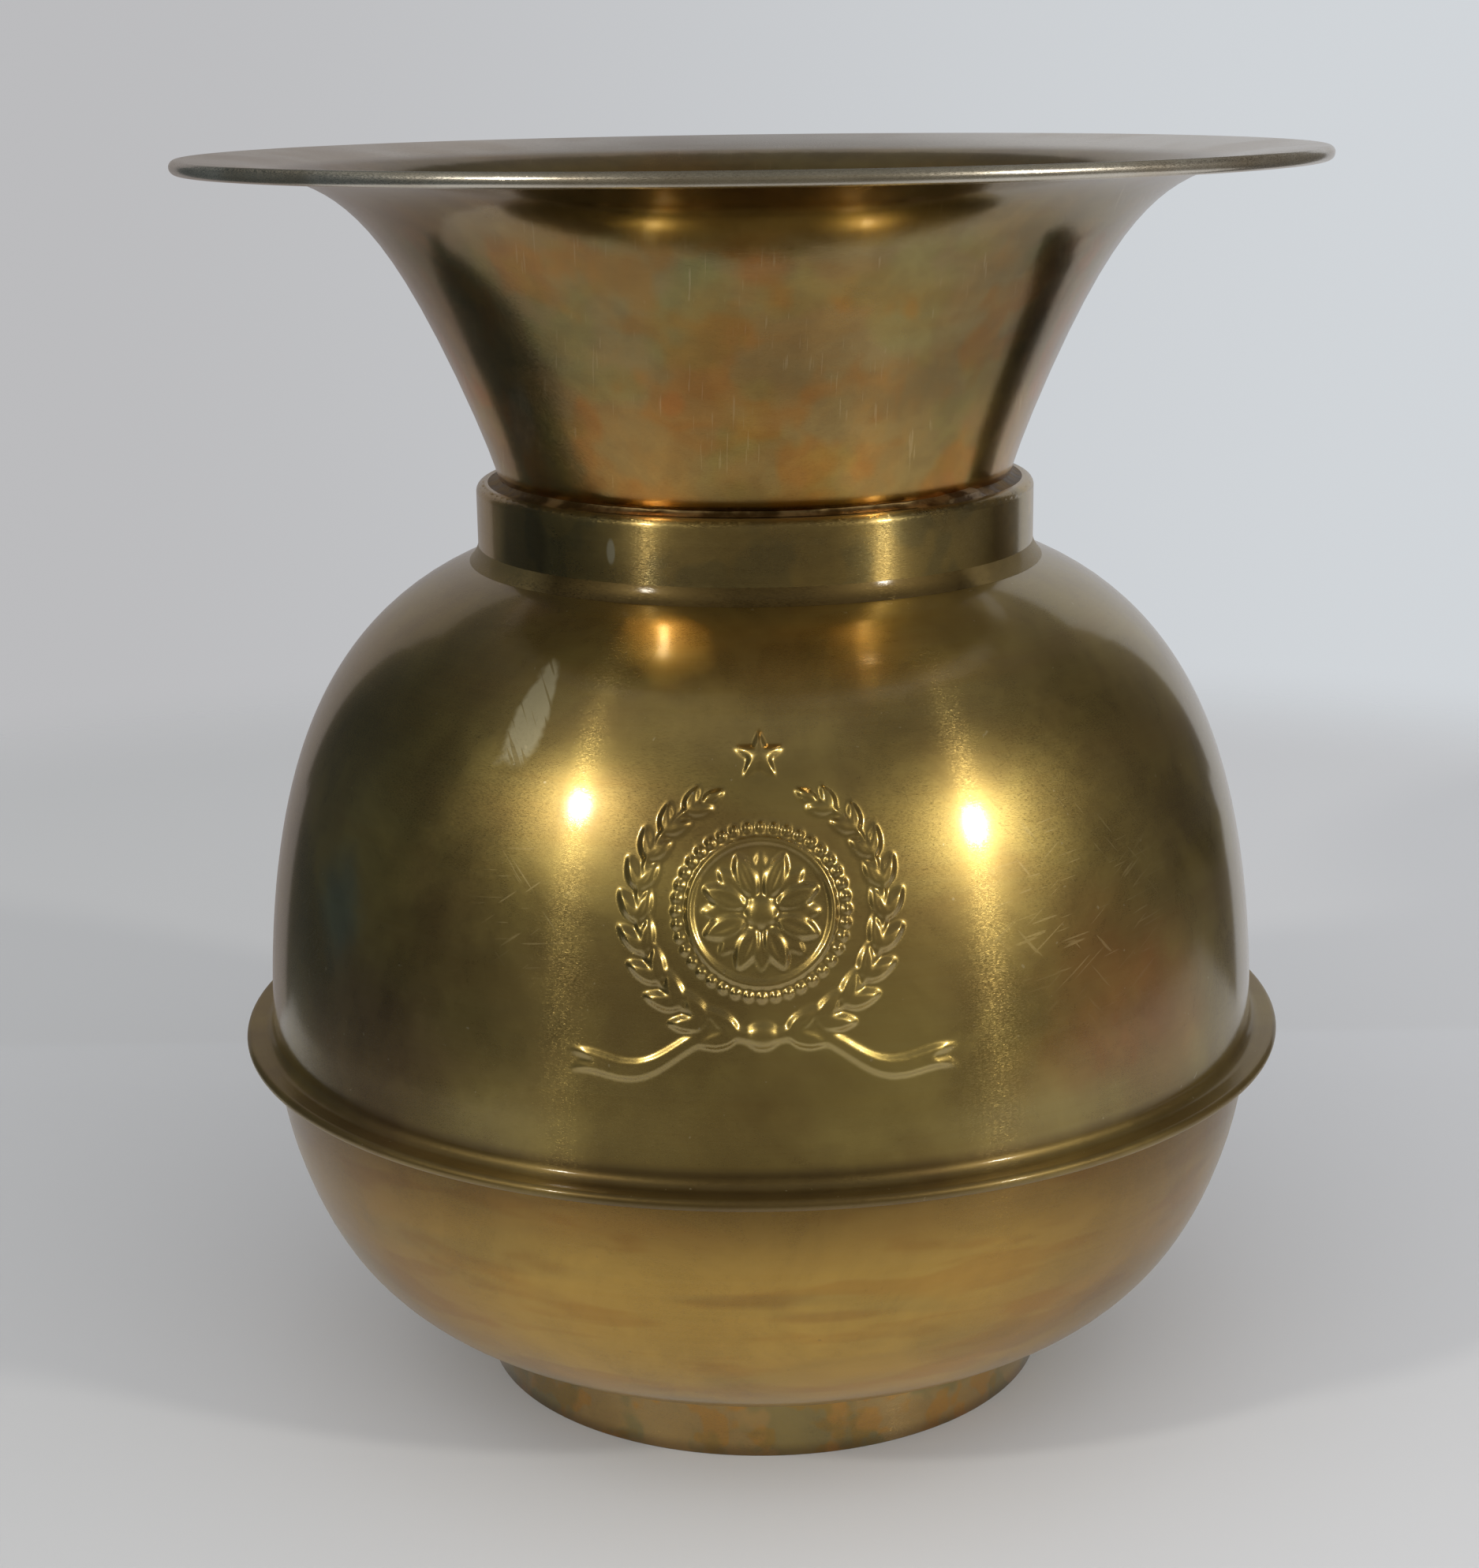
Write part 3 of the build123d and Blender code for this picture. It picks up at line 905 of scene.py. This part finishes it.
def brass(name, tones, lean=1.0, polish=(0.27, 0.345), brushed=0.97, keen=(0.37, 0.51), coat=1.0,
          lean_most=groove_tilt, bare=None, marks=None):
    """Aged brass: clouds of its tones, its own marks and painted light, and lathe grooves that draw lights
    out lengthwise.

    lean is the slope that the lathe's lines follow. polish is the roughness of the keen and the dull grain.
    keen says between which values of the grain's noise it turns dull. brushed is the anisotropy of the keen
    grain, and lean_most is how far its grooves tilt it. Above the band bare, the coat has its full weight.
    """
    made, tree, out = material(name)
    place = object_place(tree)
    lathe = turned_coordinates(tree, place, lean)
    clouds = noise(tree, place, *cloud_noise)
    drift = noise(tree, stretch(tree, lathe, drift_stretch), *drift_noise)
    lines = noise(tree, stretch(tree, lathe, line_stretch), *line_noise)
    colour = mix(tree, spread(tree, clouds, *cloud_range), tones[0], tones[1])
    colour = mix(tree, spread(tree, drift, *drift_range), colour, tones[2])
    colour = mix(tree, spread(tree, lines, *line_range), colour, tones[3])
    dull = spread(tree, noise(tree, stretch(tree, lathe, grain_stretch), *grain_noise), *keen)
    gloss = calc(tree, "MULTIPLY_ADD", dull, polish[1] - polish[0], polish[0])
    gloss = calc(tree, "MULTIPLY", gloss, spread(tree, clouds, *cloud_gloss))
    if marks:
        colour, gloss = marks(tree, place, colour, gloss)
    fine = bump(tree, lines, line_strength, line_depth)
    wavy = bump(tree, noise(tree, place, *swell_noise), swell_strength, swell_depth, fine)
    grooves = noise(tree, stretch(tree, lathe, groove_stretch), *grain_noise)
    sway = calc(tree, "MULTIPLY_ADD", grooves, 2.0, -1.0)
    keenness = calc(tree, "SUBTRACT", 1.0, dull)
    lean_by = calc(tree, "MULTIPLY", calc(tree, "POWER", sway, 3.0), lean_most)
    if bare:
        full = height_mask(tree, place, *bare)
        coat = calc(tree, "MULTIPLY_ADD", full, (1 - thin_coat) * coat, thin_coat * coat)
    tangent = add(tree, "ShaderNodeTangent", direction_type="RADIAL", axis="Z")
    shader = add(tree, "ShaderNodeBsdfPrincipled", {
        "Base Color": colour,
        "Metallic": 1.0,
        "Roughness": gloss,
        "Anisotropic": calc(tree, "MULTIPLY", keenness, brushed),
        "Anisotropic Rotation": brushed_along,
        "Tangent": tangent.outputs[0],
        "Coat Weight": coat,
        "Coat Roughness": coat_roughness,
        "Coat IOR": coat_index,
        "Normal": tipped(tree, wavy, calc(tree, "MULTIPLY", lean_by, keenness)),
        "Coat Normal": tipped(tree, wavy, calc(tree, "MULTIPLY", sway, coat_tilt)),
    })
    tree.links.new(shader.outputs[0], out.inputs[0])
    return made


def solder():
    """Soft solder, dull grey, browned in the hollows, with a pale residue on the right of the neck."""
    made, tree, out = material("solder")
    place = object_place(tree)
    grime = noise(tree, place, *grime_noise)
    colour = mix(tree, spread(tree, grime, *solder_range), *solder_tones)
    crust = mix(tree, spread(tree, grime, *residue_range), *residue_tones)
    shader = add(tree, "ShaderNodeBsdfPrincipled", {
        "Base Color": mix(tree, near(tree, place, *solder_residue), colour, crust),
        "Metallic": 0.9,
        "Roughness": spread(tree, grime, *solder_gloss),
        "Normal": bump(tree, noise(tree, place, *pit_noise), pit_strength, pit_depth),
    })
    tree.links.new(shader.outputs[0], out.inputs[0])
    return made


def wire_iron():
    """Plain iron wire, a little rusty."""
    made, tree, out = material("rim_iron")
    rust = noise(tree, object_place(tree), *rust_noise)
    shader = add(tree, "ShaderNodeBsdfPrincipled", {
        "Base Color": mix(tree, spread(tree, rust, *rust_range), iron_tone, rust_tone),
        "Metallic": 0.8,
        "Roughness": spread(tree, rust, *rust_gloss),
    })
    tree.links.new(shader.outputs[0], out.inputs[0])
    return made


def dress(piece, finish):
    """Give a piece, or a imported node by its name, its finish."""
    data = frame["nodes"][piece].data if isinstance(piece, str) else piece.data
    data.materials.clear()
    data.materials.append(finish)


def paper(tree, left, right):
    """A pale matt surface that goes from one colour on the left to another on the right."""
    # The darker left is painted shade.
    across = axes(tree, object_place(tree))[0]
    return add(tree, "ShaderNodeBsdfPrincipled", {
        "Base Color": mix(tree, spread(tree, across, -paper_reach, paper_reach), left, right),
        "Roughness": paper_roughness,
        "Specular IOR Level": paper_specular,
    })


def floor():
    """A plain pale disc that fades into the backdrop at its edge. The metal mirrors the table instead."""
    bpy.ops.mesh.primitive_circle_add(vertices=floor_corners, radius=floor_radius, fill_type="NGON")
    made = bpy.context.object
    made.name = "floor"
    made.visible_glossy = False
    finish, tree, out = material("floor")
    far = vector_calc(tree, "LENGTH", object_place(tree), output="Value")
    matt = paper(tree, floor_left, floor_right)
    clear = add(tree, "ShaderNodeBsdfTransparent")
    share = spread(tree, far, floor_radius - floor_fade, floor_radius)
    both = add(tree, "ShaderNodeMixShader", {0: share, 1: matt.outputs[0], 2: clear.outputs[0]})
    tree.links.new(both.outputs[0], out.inputs[0])
    made.data.materials.append(finish)


def card(name, corners, finish):
    """A flat stage piece that only mirrors show."""
    mesh = bpy.data.meshes.new(name)
    mesh.from_pydata(corners, [], [range(len(corners))])
    mesh.materials.append(finish)
    made = bpy.data.objects.new(name, mesh)
    bpy.context.scene.collection.objects.link(made)
    made.visible_camera = False
    made.visible_diffuse = False
    made.visible_shadow = False
    made.visible_transmission = False


def table():
    """The pale table that the metal mirrors: lit as the floor is, with painted shade towards its front and
    sides.
    """
    finish, tree, out = material("table")
    across, depth, _ = axes(tree, object_place(tree))
    matt = paper(tree, table_near_left, table_near_right)
    dark = add(tree, "ShaderNodeEmission", {"Color": (*room_front, 1.0), "Strength": table_dark})
    share = spread(tree, depth, table_front, table_front + table_dim)
    for start, full in table_side_fades:
        share = calc(tree, "MULTIPLY", share, spread(tree, across, start, full, 1.0, table_side))
    both = add(tree, "ShaderNodeMixShader", {0: share, 1: dark.outputs[0], 2: matt.outputs[0]})
    tree.links.new(both.outputs[0], out.inputs[0])
    # The darker left of the table is painted shade.
    spots = [(table_left, table_front), (table_right, table_front),
             (table_right, board_place), (table_left, board_place)]
    card("table", [(x, y, table_height) for x, y in spots], finish)


def board():
    """The pale board behind the table that the metal mirrors along its sides, dimmer on the left."""
    # Painted light: the board glows though it is no lamp, and its darker left is painted shade.
    finish, tree, out = material("board")
    across, _, height = axes(tree, object_place(tree))
    share = spread(tree, across, -board_half_width, board_half_width)
    level = spread(tree, height, board_top_from * board_height, board_height, 1.0, board_top_dim)
    colour = mix(tree, share, board_left, board_right)
    shine = add(tree, "ShaderNodeEmission", {"Color": colour, "Strength": level})
    tree.links.new(shine.outputs[0], out.inputs[0])
    half = [(board_foot, 0), (board_foot, board_foot_height), (board_half_width, board_foot_height),
            (board_half_width, board_height)]
    spots = half + [(-x, z) for x, z in reversed(half)]
    card("board", [(x, board_place, z) for x, z in spots], finish)


def shade():
    """Painted shadow of the object: a dark card over the right of the table, which the funnel mirrors."""
    finish, tree, out = material("shade")
    dark = add(tree, "ShaderNodeEmission", {"Color": (*shade_colour, 1.0)})
    tree.links.new(dark.outputs[0], out.inputs[0])
    card("shade", [(x, y, shade_height) for x, y in shade_edge], finish)


def world():
    """A pale backdrop for the camera, an even fill for the light, and a dim room for the metal to mirror."""
    made = bpy.data.worlds.new("studio")
    bpy.context.scene.world = made
    made.use_nodes = True
    tree = made.node_tree
    tree.nodes.clear()
    way = add(tree, "ShaderNodeTexCoord").outputs["Generated"]
    across, depth, height = axes(tree, way)
    rays = add(tree, "ShaderNodeLightPath")
    room = mix(tree, spread(tree, across, -room_turn, room_turn), room_left, room_right)
    room = mix(tree, spread(tree, depth, *room_front_fade), room, room_front)
    room = mix(tree, spread(tree, height, *ceiling_fade), room, ceiling)
    level = spread(tree, noise(tree, way, *room_noise), *room_unevenness)
    grey = add(tree, "ShaderNodeCombineColor", {0: level, 1: level, 2: level})
    room = shaded(tree, 1.0, room, grey.outputs[0])
    even = mix(tree, spread(tree, depth, -fill_turn, fill_turn), fill_front, fill_back)
    fill = mix(tree, rays.outputs["Is Glossy Ray"], even, room)
    # Painted shade: the backdrop that the camera sees is darker on its left.
    backdrop = mix(tree, spread(tree, across, -backdrop_turn, backdrop_turn), backdrop_left, backdrop_right)
    seen = mix(tree, rays.outputs["Is Camera Ray"], fill, backdrop)
    light = add(tree, "ShaderNodeBackground", {"Color": seen, "Strength": 1.0})
    out = tree.nodes.new("ShaderNodeOutputWorld")
    tree.links.new(light.outputs[0], out.inputs[0])


bpy.context.scene.view_settings.view_transform = "Standard"
camera()
for name, place in lamp_places.items():
    lamp(name, *place)
floor()
table()
board()
shade()
world()

dress("mouth_funnel", brass("mouth_brass", funnel_tones, polish=(0.11, 0.24), brushed=0.5, keen=(0.41, 0.57),
                            coat=0.6, lean_most=2.0, marks=funnel_marks_and_painted_light))
dress("neck_collar", brass("collar_brass", collar_tones, polish=(0.28, 0.4), keen=(0.48, 0.68),
                           coat=0.7, lean_most=14.0, marks=collar_marks_and_painted_light))
dress("collar_solder", brass("collar_joint", joint_tones, polish=(0.36, 0.5), brushed=0.5,
                             coat=0.3, marks=joint_painted_shade_and_sheen))
dress(upper_bowl(), brass("dome_brass", dome_tones, lean=-1.0, bare=dome_coat, marks=dome_marks_and_painted_light))
dress("lower_bowl", brass("bowl_brass", bowl_tones, coat=0.5, marks=bowl_marks_and_painted_shade))
dress("foot_ring", brass("foot_brass", foot_tones, marks=foot_marks_and_painted_shadow))
dress("rim_wire", wire_iron())
solder_finish = solder()
for piece in (neck_solder(), "seam_solder", "foot_solder"):
    dress(piece, solder_finish)
